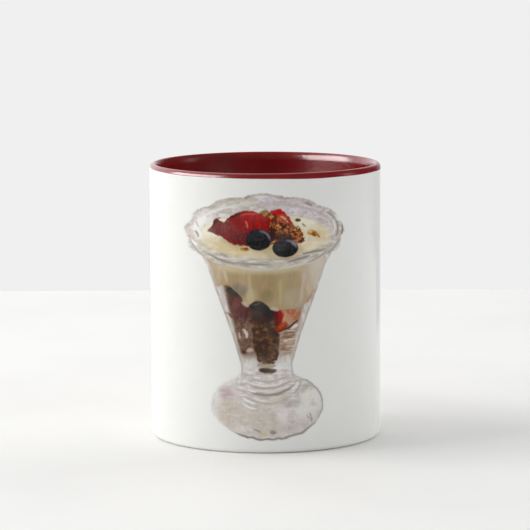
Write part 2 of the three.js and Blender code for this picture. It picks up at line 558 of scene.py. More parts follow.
class Brush:
    """Paints soft shapes over a colour, each over the last."""

    def __init__(self, sheet, place, colour):
        self.sheet, self.place, self.colour = sheet, place, colour
        self.mask = None

    @contextmanager
    def inside(self, mask):
        """All that is painted meanwhile stays inside the mask."""
        self.mask = mask
        yield
        self.mask = None

    def over(self, tone, share):
        """Lays a colour over all that is painted so far, as much of it as the share says."""
        if self.mask is not None:
            share = self.sheet.times(share, self.mask)
        tone = linear(tone) if isinstance(tone, str) else tone
        self.colour = self.sheet.mix(share, self.colour, tone)

    def grain(self, tone, grain, share):
        """Mottles a colour in where the grain is high, or where it is low if the share is
        negative."""
        peak = 1.0 if share > 0 else 0.0
        self.over(tone, self.sheet.ease(grain, 0.5, peak, 0.0, abs(share)))

    def shape(self, centre, size, turn=0.0, **more):
        """An oval about a centre, of two half axes, turned by an angle in degrees."""
        cos, sin = math.cos(math.radians(turn)), math.sin(math.radians(turn))
        places = {"place": self.place, "centre": (*centre, 0), "size": (*size, 1)}
        places["along"] = (cos / size[0], sin / size[0], 0)
        places["across"] = (-sin / size[1], cos / size[1], 0)
        return self.sheet.place(shared(soft_oval), **places, **more)

    def oval(self, tone, centre, size, **more):
        self.over(tone, self.shape(centre, size, **more)["Mask"])

    def rim(self, tone, centre, size, facing=0.0, spread=180.0, **more):
        """A line along an oval's edge, facing one way and fading out round the rest."""
        more.update(towards(facing, spread))
        self.over(tone, self.shape(centre, size, **more)["Line"])

    def stroke(self, tone, start, end, **more):
        places = {"place": self.place, "start": (*start, 0), "end": (*end, 0)}
        self.over(tone, self.sheet.place(shared(soft_stroke), **places, **more)["Mask"])

    def between(self, low, high, soft=0.4, grain=None, ragged=0.7):
        """Where the place lies above one outline and below another, each a list of (across, up).
        A grain makes the edge ragged, by so many millimetres."""
        across, up = self.sheet.part(self.place, "x"), self.sheet.part(self.place, "y")
        above = self.sheet.minus(up, self.sheet.curve(across, low))
        below = self.sheet.minus(self.sheet.curve(across, high), up)
        ends = self.sheet.minus(across, low[0][0])
        ends = self.sheet.math("MINIMUM", ends, self.sheet.minus(low[-1][0], across))
        room = self.sheet.math("MINIMUM", self.sheet.math("MINIMUM", above, below), ends)
        if grain is not None:
            uneven = self.sheet.math("MULTIPLY_ADD", grain, ragged, -ragged / 2)
            room = self.sheet.math("ADD", room, uneven)
        return self.sheet.ease(room, -soft / 2, soft / 2)


# ---------------------------------------------------------------- the printed dessert


PAINTED = [("Under", "Color", (1, 1, 1, 1)), ("Place", "Vector", None), ("Loose", "Vector", None)]
PAINTED += [(grain, "Float", 0.5) for grain in ("Fine", "Coarse", "Ripple", "Streak")]


def print_grain():
    """The ink's unevenness, each kind from 0 to 1: fine, coarse, drawn out across and down."""
    kinds = {"Fine": (0.8, 0.8, 1), "Coarse": (0.28, 0.28, 1), "Ripple": (0.24, 0.85, 1)}
    kinds["Streak"] = (0.7, 0.16, 1)
    outputs = [(name, "Float") for name in kinds]
    sheet, given, result = group("Print Grain", [("Place", "Vector", None)], outputs)
    for name, scale in kinds.items():
        grain = sheet.noise(sheet.vector("MULTIPLY", given["Place"], scale), 1.0, 2)
        sheet.feed(result[name], sheet.ease(grain, 0.3, 0.7))
    return sheet.tree


def painted_foot(inks):
    """The glass's round foot, seen through itself: pale, mottled, with a thin broken outline."""
    sheet, given, result = group("Painted Foot", PAINTED, [("Color", "Color")])
    brush = Brush(sheet, given["Loose"], given["Under"])
    centre, size = (0.5, 16.6), (19.7, 11.6)
    foot = brush.shape(centre, size, soft=0.7)["Mask"]
    brush.over("#E1DEDB", foot)
    inner = brush.shape((1.2, 16.4), (18.4, 11.0), soft=3.0)["Mask"]
    brush.over(tuple(inks.glass), inner)
    with brush.inside(foot):
        brush.oval("#CFC6BE", (-9.0, 13.0), (9.0, 6.5), soft=6.0)
        brush.oval("#C4AFB2", (-14.0, 20.8), (2.8, 2.2), turn=-30, soft=2.6)
        brush.oval("#C7BAA8", (-13.6, 14.4), (2.4, 4.0), soft=3.0, strength=0.8)
        brush.oval("#CDC4B9", (-1.0, 10.8), (8.0, 4.0), soft=4.0)
        brush.oval("#E4DBD8", (9.4, 13.2), (6.0, 3.2), soft=3.0)
        brush.oval("#E3E3DB", (14.6, 18.5), (5.0, 5.4), soft=4.0)
        brush.oval("#D1C4C4", (10.0, 9.6), (4.6, 2.0), turn=14, soft=3.0)
        brush.oval("#B9B0A9", (9.2, 17.2), (2.6, 1.2), turn=10, soft=2.0)
        brush.oval("#C3BCB4", (13.4, 22.6), (2.0, 1.2), turn=40, soft=1.6)
        brush.oval("#DDD5D1", (-7.6, 8.6), (2.8, 1.0), turn=-8, soft=1.4)
        brush.grain("#B3A69D", given["Coarse"], -0.36)
        brush.grain("#F0ECEA", given["Ripple"], 0.2)
        brush.grain("#A2958B", given["Fine"], -0.08)
        brush.grain("#F3F1EF", given["Fine"], 0.12)
    brush.oval("#9C8787", (2.4, 7.3), (1.2, 0.6), soft=0.8)
    brush.stroke("#A8998F", (-4.6, 8.6), (-1.6, 7.2), width=0.7, soft=0.7)
    brush.oval("#CDBF98", (-1.0, 6.7), (1.4, 0.5), soft=0.8)
    edge = {"centre": centre, "size": size, "soft": 0.6}
    brush.rim("#B4B0AC", facing=16, spread=62, width=0.7, **edge)
    brush.rim("#877D74", facing=-100, spread=34, width=0.6, **edge)
    brush.rim("#9A918A", facing=-60, spread=36, width=0.7, **edge)
    brush.rim("#DEDAD6", facing=165, spread=70, width=0.6, **edge)
    brush.stroke("#A9A39D", (15.2, 13.8), (16.0, 10.2), bow=0.2, width=0.5, soft=0.5)
    brush.stroke("#B5AEA8", (13.8, 13.2), (15.3, 11.6), width=0.5, soft=0.5)
    sheet.feed(result["Color"], brush.colour)
    return sheet.tree


def painted_stem(inks):
    """The short stem and its stepped rings."""
    sheet, given, result = group("Painted Stem", PAINTED, [("Color", "Color")])
    brush = Brush(sheet, given["Loose"], given["Under"])
    across, up = sheet.part(given["Loose"], "x"), sheet.part(given["Loose"], "y")
    rings = brush.shape((0.8, 23.6), (11.6, 6.8), soft=1.4)["Mask"]
    brush.over("#D3CBC5", rings)
    sides = [(22, 11.2), (24.5, 10.6), (26.5, 9.2), (29, 8.3), (33, 8.9), (37, 10.4)]
    room = sheet.minus(sheet.curve(up, sides), sheet.math("ABSOLUTE", across))
    neck = sheet.ease(room, -0.3, 0.4)
    neck = sheet.times(neck, sheet.ease(up, 22.0, 25.0), sheet.ease(up, 37.0, 35.0))
    brush.over(tuple(inks.glass), neck)
    with brush.inside(neck):
        brush.oval("#DED8D5", (-5.8, 30.0), (2.2, 3.8), soft=2.0)
        brush.oval("#E4E2DF", (6.0, 31.5), (2.0, 3.6), soft=2.0)
        brush.oval("#C9BFC3", (5.0, 27.0), (2.4, 1.2), soft=1.6)
    with brush.inside(rings):
        brush.grain("#A99E95", given["Ripple"], -0.5)
        brush.grain("#F1EEEC", given["Ripple"], 0.6)
    with brush.inside(neck):
        brush.grain("#AA9F97", given["Fine"], -0.3)
        brush.grain("#F1EEEB", given["Streak"], 0.5)
    brush.place = given["Place"]
    brush.stroke("#BBB2AB", (-7.2, 27.4), (9.0, 28.0), bow=-2.6, width=0.7, soft=0.8)
    brush.stroke("#E6E2DF", (-8.0, 25.9), (9.0, 26.4), bow=-2.6, width=0.7, soft=0.7)
    brush.stroke("#B2A8A0", (-7.8, 24.9), (10.0, 26.2), bow=-2.7, width=0.7, soft=0.8)
    brush.stroke("#DDD7D2", (-7.0, 23.4), (9.6, 25.0), bow=-2.4, width=0.7, soft=0.7)
    brush.stroke("#988E85", (-7.4, 22.4), (10.8, 24.6), bow=-3.0, width=1.0, soft=0.7)
    brush.stroke("#D6CDB9", (-1.0, 18.7), (6.0, 19.4), bow=-0.5, width=0.8, soft=0.8)
    brush.stroke("#BEB5AD", (-8.4, 20.6), (10.0, 21.2), bow=-3.4, width=0.7, soft=0.9)
    brush.stroke("#F0EEEC", (-8.6, 19.8), (-3.2, 17.4), bow=-0.4, width=0.6, soft=0.4)
    brush.stroke("#EDEAE7", (-8.6, 17.8), (-3.0, 15.5), bow=-0.4, width=0.6, soft=0.4)
    brush.stroke("#F0EEEC", (-6.4, 22.4), (-3.2, 21.4), bow=-0.2, width=0.5, soft=0.4)
    brush.stroke("#B9B0A9", (9.0, 20.4), (12.4, 25.4), bow=-0.6, width=0.7, soft=0.6)
    brush.stroke("#EAE6E1", (8.4, 21.6), (11.2, 25.6), bow=-0.5, width=0.5, soft=0.4)
    brush.stroke("#C3BBB5", (-9.8, 35.6), (-8.8, 25.8), bow=1.1, width=0.6, soft=0.6)
    brush.stroke("#C0B9B3", (9.8, 35.6), (10.0, 26.0), bow=-1.1, width=0.6, soft=0.6)
    sheet.feed(result["Color"], brush.colour)
    return sheet.tree


def granola():
    """Toasted crumbs: how much of a crumb's lit top there is, and how deep the gaps lie."""
    inputs = [("Place", "Vector", None), ("Crumbs", "Float", 0.8)]
    outputs = [("Lit", "Float"), ("Pale", "Float"), ("Gaps", "Float")]
    sheet, given, result = group("Granola", inputs, outputs)
    flat = sheet.vector("MULTIPLY", given["Place"], (1.0, 1.3, 1.0))
    crumbs = {"Vector": flat, "Scale": given["Crumbs"]}
    crumb = sheet.add("ShaderNodeTexVoronoi", crumbs, feature="F1").outputs
    rough = sheet.math("MULTIPLY_ADD", sheet.noise(given["Place"], 1.5, 3), 1.1, -0.55)
    far = sheet.math("ADD", crumb["Distance"], rough)
    sheet.feed(result["Lit"], sheet.ease(far, 0.6, 0.25))
    pale = sheet.ease(sheet.chance(crumb["Position"]), 0.5, 0.9)
    sheet.feed(result["Pale"], sheet.times(pale, sheet.ease(far, 0.45, 0.1)))
    sheet.feed(result["Gaps"], sheet.ease(far, 0.42, 0.8))
    return sheet.tree


def toast():
    """Colours the granola: brown crumbs, lit tops, pale oats and dark gaps."""
    parts = [(name, "Float", 0.0) for name in ("Lit", "Pale", "Gaps")]
    tones = [(name, "Color", (0.1, 0.05, 0.02, 1)) for name in ("Brown", "Top", "Oat", "Dark")]
    sheet, given, result = group("Toast", parts + tones, [("Color", "Color")])
    colour = sheet.mix(given["Lit"], given["Brown"], given["Top"])
    colour = sheet.mix(given["Pale"], colour, given["Oat"])
    sheet.feed(result["Color"], sheet.mix(given["Gaps"], colour, given["Dark"]))
    return sheet.tree


def blueberry(inks):
    """A dark berry with a dusty bloom on its shoulder and a starry crown."""
    inputs = [("Under", "Color", (1, 1, 1, 1)), ("Place", "Vector", None)]
    inputs += [("Centre", "Vector", None), ("Size", "Vector", (4, 3, 1)), ("Crown", "Vector", None)]
    inputs += [("Fine", "Float", 0.5)]
    sheet, given, result = group("Blueberry", inputs, [("Color", "Color")])
    brush = Brush(sheet, given["Place"], given["Under"])
    oval = shared(soft_oval)

    def part(offset, share, **more):
        """An oval placed and sized by shares of the whole berry."""
        centre = sheet.vector("MULTIPLY_ADD", given["Size"], (*offset, 0), given["Centre"])
        size = sheet.vector("MULTIPLY", given["Size"], (*share, 1))
        more["along"] = sheet.vector("DIVIDE", (1, 0, 0), size)
        more["across"] = sheet.vector("DIVIDE", (0, 1, 0), size)
        return sheet.place(oval, place=given["Place"], centre=centre, size=size, **more)

    body = part((0, 0), (1, 1), soft=0.6)["Mask"]
    shine = {"facing": (0.73, 0.68, 0), "spread": 0.95, "width": 0.7, "strength": 0.75}
    wide, tall = 1.25, 0.85
    crown = {"place": given["Place"], "centre": given["Crown"], "size": (wide, tall, 1)}
    crown.update(along=(1 / wide, 0, 0), across=(0, 1 / tall, 0))
    brush.over(tuple(inks.blueberry), body)
    with brush.inside(body):
        brush.over("#0E0D0E", part((0.1, -0.4), (0.8, 0.45), soft=2.0, strength=0.7)["Mask"])
        brush.over("#2C3037", part((-0.3, 0.35), (0.5, 0.4), soft=2.4, strength=0.5)["Mask"])
        brush.over("#828388", part((0, 0), (0.84, 0.82), soft=0.8, **shine)["Line"])
        brush.grain("#42464C", given["Fine"], 0.25)
        brush.over("#4C4450", sheet.place(oval, **crown, width=0.4, soft=0.6, strength=0.6)["Line"])
        brush.over("#191116", sheet.place(oval, **crown, soft=1.1, strength=0.8)["Mask"])
    sheet.feed(result["Color"], brush.colour)
    return sheet.tree


def painted_bowl(inks):
    """The fluted bowl with what is layered in it: granola and fruit under a deep band of cream."""
    inputs = PAINTED + [("Grain", "Color", None)]
    sheet, given, result = group("Painted Bowl", inputs, [("Color", "Color")])
    brush = Brush(sheet, given["Place"], given["Under"])
    across, up = sheet.part(given["Place"], "x"), sheet.part(given["Place"], "y")
    sides = [(29, 8.4), (38, 10.9), (46, 13.7), (54, 16.9), (62, 20.1), (65, 21.3), (67.5, 23)]
    sides.append((71, 25.4))
    out = sheet.math("ABSOLUTE", sheet.minus(across, 0.2))
    room = sheet.minus(sheet.curve(up, sides), out)  # in from the glass's edge
    bowl = sheet.times(sheet.ease(room, -0.4, 0.4), sheet.ease(up, 30.0, 34.0))
    bowl = sheet.times(bowl, sheet.ease(up, 72.0, 70.0))
    brush.over("#C9C1BA", bowl)
    with brush.inside(bowl):
        brush.grain("#EFECE9", given["Streak"], 0.7)
    wall = sheet.math("MAXIMUM", sheet.math("MULTIPLY_ADD", up, 0.13, -4.9), 0.2)
    filled = sheet.times(sheet.ease(sheet.minus(room, wall), 0.0, 2.0), bowl)
    brush.place = given["Loose"]
    painted_fruit(brush, given, across, up, filled)
    brush.place = given["Place"]

    # The cream.
    edge = [(-21, 59), (-17.5, 57.6), (-14, 58.3), (-11, 56.8), (-8.4, 54.4), (-6.2, 51.6)]
    edge += [(-3.2, 53.2), (0, 52.0), (2.6, 50.2), (8, 50.1), (12, 50.6), (15, 53.6), (21, 61)]
    cream = brush.between(edge, [(-21, 72), (0, 70), (21, 72)], soft=0.9)
    cream = sheet.times(cream, sheet.ease(room, 0.2, 1.4))
    brush.over(tuple(inks.cream_deep), cream)
    with brush.inside(cream):
        brush.oval("#9C8358", (-0.5, 58.5), (4.4, 6.5), soft=6.0, strength=0.7)
        brush.oval("#A28D66", (-10.6, 59.6), (2.2, 5.0), soft=3.0, strength=0.6)
        brush.oval("#A28E69", (9.0, 60.0), (1.8, 4.4), soft=3.0, strength=0.6)
        brush.oval("#B9A78C", (-18.0, 62.0), (3.0, 6.0), turn=-20, soft=3.0)
        brush.oval("#C4B39C", (15.4, 61.0), (2.6, 7.0), turn=20, soft=4.0)
        brush.oval("#D0C5B4", (18.2, 61.0), (2.2, 6.0), turn=22, soft=3.0)
        brush.oval("#DACDBC", (19.6, 66.0), (2.4, 3.0), turn=24, soft=2.4, strength=0.9)
        brush.oval("#B4A58D", (10.8, 53.6), (4.6, 3.4), soft=3.6, strength=0.8)
        brush.oval("#CDB9A2", (15.2, 56.2), (1.0, 2.8), turn=18, soft=1.8, strength=0.7)
        brush.oval("#87796A", (-8.9, 56.6), (2.9, 2.0), turn=-24, soft=2.2)
        brush.oval("#BBAB84", (-5.2, 54.4), (1.5, 2.6), soft=2.0)
        brush.oval("#8C7854", (0.4, 54.6), (2.4, 2.2), soft=2.4, strength=0.8)
        brush.oval("#CCBE9C", (-2.5, 64.2), (15.0, 1.8), soft=2.4, strength=0.8)
        brush.grain("#C9BC9B", given["Streak"], 0.12)
        brush.grain("#8D7850", given["Streak"], -0.08)
    brush.stroke("#C6B796", (-15.4, 65.0), (-13.2, 58.8), bow=0.2, width=0.9, soft=1.0)
    brush.stroke("#C0B088", (-5.7, 63.0), (-5.0, 53.5), width=0.8, soft=1.4, strength=0.8)
    brush.stroke("#BFAF86", (5.0, 61.0), (5.0, 51.0), width=0.8, soft=1.4, strength=0.8)
    brush.stroke("#CFC4AE", (13.6, 63.0), (12.0, 51.5), width=0.8, soft=1.4, strength=0.7)
    brush.oval("#BBAF9D", (3.0, 50.2), (1.5, 0.6), turn=-12, soft=0.8)
    brush.oval("#C0A793", (-7.0, 51.9), (1.4, 0.7), turn=-34, soft=0.9)
    brush.stroke("#BB8870", (14.0, 51.8), (17.4, 57.0), bow=-0.3, width=1.2, soft=0.8)

    # The glass's own edges, over everything.
    light = sheet.times(sheet.ease(room, 0.4, 0.8), sheet.ease(room, 1.7, 1.1), bowl)
    shade = sheet.math("MULTIPLY_ADD", given["Streak"], 0.5, 0.1)
    brush.over("#D2CCC5", sheet.times(light, shade))
    line = sheet.times(sheet.ease(room, 0.9, 0.3), sheet.ease(room, -0.3, 0.25))
    line = sheet.times(line, sheet.ease(up, 63.0, 54.0, 0.25, 1.0), bowl)
    shade = sheet.math("MULTIPLY_ADD", given["Coarse"], 0.5, 0.4)
    brush.over("#A79E96", sheet.times(line, shade))
    sheet.feed(result["Color"], brush.colour)
    return sheet.tree


def painted_fruit(brush, given, across, up, filled):
    """Fruit and juice behind the glass, and the granola in the middle of them."""
    sheet = brush.sheet
    fruit = sheet.times(filled, sheet.ease(up, 31.5, 37.0))
    brush.over("#A68C78", fruit)
    left = sheet.times(fruit, sheet.ease(across, 2.0, -2.0))
    brush.over("#70533F", left)
    with brush.inside(filled):
        brush.oval("#5F3733", (-8.6, 50.8), (6.0, 5.0), turn=-30, soft=3.0)
        brush.oval("#4E2426", (-5.0, 48.8), (2.2, 3.2), turn=-20, soft=1.8)
        brush.oval("#734640", (-10.4, 51.2), (1.3, 3.0), turn=-20, soft=1.6)
    brush.stroke("#6B4030", (-14.6, 48.8), (-10.4, 46.8), bow=0.2, width=0.9, soft=0.9)
    with brush.inside(filled):
        brush.oval("#6D513F", (-7.8, 38.0), (1.6, 3.4), turn=15, soft=1.6)
    with brush.inside(left):
        brush.grain("#432A1F", given["Fine"], -0.35)
    left = sheet.times(left, sheet.ease(up, 50.0, 45.0))
    with brush.inside(left):
        brush.grain("#A1826C", given["Coarse"], 0.34)
        brush.grain("#B39C8A", given["Fine"], 0.16)
    with brush.inside(filled):
        brush.oval("#413028", (-8.3, 35.6), (1.5, 0.9), soft=1.0, strength=0.8)
        brush.oval("#BFA693", (-5.4, 36.0), (1.1, 0.6), turn=12, soft=0.7)
    brush.stroke("#D2C4BA", (-7.6, 43.6), (-6.6, 39.6), bow=0.3, width=1.0, soft=0.8)
    brush.stroke("#BFB0A5", (-9.4, 42.4), (-8.6, 39.6), bow=-0.2, width=0.6, soft=0.6)
    with brush.inside(filled):
        brush.oval("#AE6B4C", (8.4, 48.2), (3.8, 2.4), turn=4, soft=1.4)
        brush.oval("#C08C6C", (7.6, 46.6), (1.8, 1.2), soft=1.4)
    right = sheet.times(fruit, sheet.ease(across, 4.0, 6.0))
    low = sheet.times(right, sheet.ease(up, 46.0, 44.0))
    with brush.inside(low):
        brush.grain("#7A5C44", given["Ripple"], -0.9)
        brush.grain("#DDD5CA", given["Ripple"], 0.8)
    with brush.inside(right):
        brush.grain("#D2A48A", given["Fine"], 0.4)
    with brush.inside(filled):
        brush.oval("#E2DACF", (9.7, 44.0), (1.6, 0.7), turn=18, soft=0.8)
        brush.oval("#BBA18B", (8.6, 38.6), (1.8, 0.6), turn=12, soft=0.9)
    brush.stroke("#86694F", (5.2, 40.4), (10.4, 41.6), bow=-0.5, width=0.6, soft=0.7)

    # The granola, and a berry on top of it.
    low = [(-4.6, 42), (-4.2, 37.5), (-3.1, 33.4), (-2.2, 31.4), (3.0, 31.6), (4.4, 35.5)]
    low.append((4.9, 44))
    core = brush.between(low, [(-4.6, 46), (-2.0, 49), (4.9, 46)], 2.0, given["Fine"], 1.4)
    brush.over(given["Grain"], core)
    brush.oval("#2A1A13", (2.8, 41.0), (1.2, 3.0), turn=25, soft=2.0, strength=0.7)
    brush.oval("#33211A", (-0.6, 34.2), (2.0, 1.4), soft=1.6, strength=0.6)
    brush.oval("#38241F", (-0.8, 47.6), (3.8, 2.8), soft=2.8, strength=0.9)
    brush.oval("#241B19", (1.2, 49.3), (2.6, 2.0), turn=-35, soft=1.8)
    brush.oval("#1D1A1A", (-1.7, 51.0), (3.9, 2.0), turn=-14, soft=1.2)
    brush.oval("#56524F", (-3.2, 52.1), (1.4, 0.4), turn=16, soft=0.8, strength=0.6)
    brush.oval("#B0A08A", (0.3, 30.6), (3.0, 0.7), soft=0.6)
    brush.oval("#645040", (0.5, 28.9), (3.1, 1.0), soft=0.7)
    brush.oval("#45352A", (-0.2, 28.8), (1.8, 0.6), soft=0.7)

    # A slice of strawberry at the right, its red skin towards the middle.
    brush.oval("#981008", (4.5, 47.0), (1.3, 3.3), soft=0.9)
    brush.oval("#581814", (3.5, 46.4), (0.9, 3.2), turn=4, soft=1.0)
    brush.oval("#8E2A0C", (5.3, 43.9), (2.2, 1.3), turn=30, soft=1.0)
    brush.oval("#B04E20", (5.9, 44.7), (1.6, 0.6), turn=30, soft=0.9)
    brush.stroke("#D6B09A", (6.5, 49.6), (6.4, 45.8), width=0.4, soft=0.6, strength=0.6)
    with brush.inside(filled):
        brush.stroke("#4E2412", (4.0, 42.2), (12.0, 46.9), bow=-0.7, width=0.8, soft=0.6)
    brush.oval("#39302D", (-11.3, 56.2), (2.7, 1.6), turn=-18, soft=1.0)


def painted_rim(inks):
    """The scalloped glass rim with the cream inside it, heaped to the brim."""
    inputs = PAINTED + [("Swirl", "Float", 0.0)]
    sheet, given, result = group("Painted Rim", inputs, [("Color", "Color")])
    brush = Brush(sheet, given["Place"], given["Under"])
    unit = brush.shape((-0.5, 77.0), (28.4, 12.2))["Unit"]
    x, y = sheet.part(unit, "x"), sheet.part(unit, "y")
    angle = sheet.math("ARCTAN2", y, x)
    lobe = sheet.math("ABSOLUTE", sheet.math("COSINE", sheet.times(angle, 6.0)))
    reach = sheet.minus(sheet.vector("LENGTH", unit, out="Value"), 1.0)
    reach = sheet.minus(reach, sheet.times(lobe, 0.06))
    reach = sheet.math("ADD", reach, sheet.math("MULTIPLY_ADD", given["Fine"], 0.016, -0.008))
    lean = sheet.times(sheet.math("ABSOLUTE", x), y)  # fuller below than above
    reach = sheet.math("MULTIPLY_ADD", lean, 0.1, reach)
    room = sheet.times(reach, -14.0)  # roughly millimetres in from the scalloped edge
    rim = sheet.ease(room, -0.3, 0.5)
    brush.over("#D7D0CB", rim)
    with brush.inside(rim):
        brush.over("#CDC6BF", sheet.ease(y, 0.2, 0.7))
        brush.oval("#D3C7CE", (9.0, 85.8), (12.0, 3.0), turn=-12, soft=3.0)
        brush.oval("#C6BFB4", (-11.0, 86.2), (7.0, 2.2), turn=12, soft=2.0)
        brush.oval("#E6E0DE", (-22.0, 80.0), (4.0, 3.0), turn=35, soft=3.0)
        brush.oval("#DACDD1", (19.0, 82.2), (4.0, 2.6), turn=-30, soft=3.0)
        brush.oval("#CBC1B7", (27.0, 76.0), (1.9, 4.2), soft=1.4)
        brush.oval("#D9CFC6", (-27.2, 76.5), (2.0, 4.2), soft=1.6)
        brush.grain("#A8A094", given["Coarse"], -0.45)
        brush.grain("#F2EFED", given["Ripple"], 0.5)
        brush.grain("#A0978D", given["Fine"], -0.35)
    line = sheet.times(sheet.ease(room, -0.2, 0.3), sheet.ease(room, 1.5, 0.5))
    where = sheet.math("MULTIPLY_ADD", sheet.ease(y, 0.2, 0.9), 0.25, 0.2)
    where = sheet.times(where, sheet.math("MULTIPLY_ADD", given["Coarse"], -0.9, 1.3))
    brush.over("#A2978B", sheet.times(line, where))

    # The far side of the rim, inside which the cream lies.
    far = {"centre": (-0.4, 76.0), "size": (25.6, 10.4)}
    brush.rim("#B7AEA5", facing=60, spread=95, width=0.7, soft=1.0, strength=0.7, **far)
    brush.rim("#EBE8E4", facing=150, spread=60, width=1.0, soft=1.0, strength=0.8, **far)
    cream = brush.shape((-0.5, 74.3), (24.0, 8.4), soft=1.0)["Mask"]
    brush.over(tuple(inks.cream), cream)
    with brush.inside(cream):
        brush.oval("#EFEBD9", (-17.0, 78.0), (6.0, 3.0), turn=20, soft=3.5)
        brush.oval("#DAC8A0", (-11.0, 70.0), (8.0, 2.4), turn=-12, soft=3.0)
        brush.oval("#DACEB5", (0.0, 67.9), (8.0, 1.6), soft=2.0)
        brush.oval("#EADDC2", (14.0, 71.5), (5.0, 2.6), turn=10, soft=3.0)
        brush.oval("#E0CBA4", (19.5, 75.0), (2.4, 1.8), soft=2.5)
        brush.oval("#EDE7D0", (14.5, 79.2), (5.0, 2.4), turn=-20, soft=3.0)
        brush.over("#CFBD90", given["Swirl"])
        brush.grain("#F6F2E4", given["Ripple"], 0.25)
        brush.grain("#BFA97A", given["Coarse"], -0.2)

    # The near side of the rim: light and shade in the thick glass.
    front = brush.shape((-0.5, 75.8), (25.6, 9.9), width=3.0, soft=1.0, **towards(-90, 82))["Line"]
    brush.over("#C6C0B4", front)
    with brush.inside(front):
        brush.grain("#8C8379", given["Ripple"], -0.6)
        brush.grain("#E9E6E0", given["Ripple"], 0.6)
    brush.stroke("#9A9186", (-21.4, 69.4), (-8.4, 65.7), bow=-0.9, width=0.8, soft=0.6)
    brush.stroke("#9D958C", (-11.5, 66.6), (3.0, 65.6), bow=-0.5, width=0.8, soft=0.7)
    brush.stroke("#CDC6B6", (-14.5, 65.6), (4.0, 63.9), bow=-0.8, width=0.8, soft=0.7)
    brush.stroke("#938B82", (7.0, 66.4), (16.0, 68.6), bow=-0.3, width=0.9, soft=0.7)
    brush.stroke("#948B80", (12.0, 69.1), (22.0, 70.4), bow=-0.3, width=0.7, soft=0.6)
    brush.stroke("#D6CFC0", (3.0, 64.0), (20.5, 68.4), bow=-0.9, width=0.8, soft=0.7)
    brush.stroke("#A59C91", (14.0, 65.8), (22.4, 70.0), bow=-0.6, width=0.6, soft=0.7)
    brush.stroke("#AFA69D", (-21.2, 67.4), (-28.4, 73.6), bow=0.7, width=0.6, soft=0.7)
    brush.stroke("#AAA198", (28.2, 74.2), (21.6, 68.0), bow=0.5, width=0.7, soft=0.7)

    # Gleams and dark flaws at both ends.
    brush.oval("#F1EEEC", (-24.0, 79.0), (3.4, 1.5), turn=40, soft=1.6)
    brush.oval("#F2F0EE", (-24.2, 75.4), (1.2, 1.8), turn=20, soft=1.4)
    brush.stroke("#8F857B", (-26.0, 76.4), (-24.3, 74.0), bow=0.4, width=0.8, soft=0.8)
    brush.stroke("#B9B1A9", (-23.9, 77.6), (-25.4, 80.2), bow=0.3, width=0.5, soft=0.6)
    brush.stroke("#F1EFEC", (-27.6, 73.4), (-24.4, 71.4), bow=-0.3, width=0.8, soft=0.6)
    brush.stroke("#9D938A", (25.4, 80.4), (25.6, 73.6), bow=1.2, width=0.9, soft=0.7)
    brush.stroke("#EAE6E1", (24.2, 80.2), (24.4, 74.4), bow=1.0, width=0.7, soft=0.7)
    brush.stroke("#968C82", (-7.2, 88.0), (-5.2, 89.2), width=0.7, soft=0.8)
    brush.stroke("#91867B", (13.4, 86.6), (16.6, 85.0), bow=0.2, width=0.8, soft=0.9)
    brush.stroke("#9A9087", (21.6, 83.0), (26.0, 79.8), bow=0.3, width=0.6, soft=0.6)
    brush.stroke("#7A7067", (28.5, 78.2), (28.3, 74.4), bow=0.3, width=0.6, soft=0.5)
    sheet.feed(result["Color"], brush.colour)
    return sheet.tree


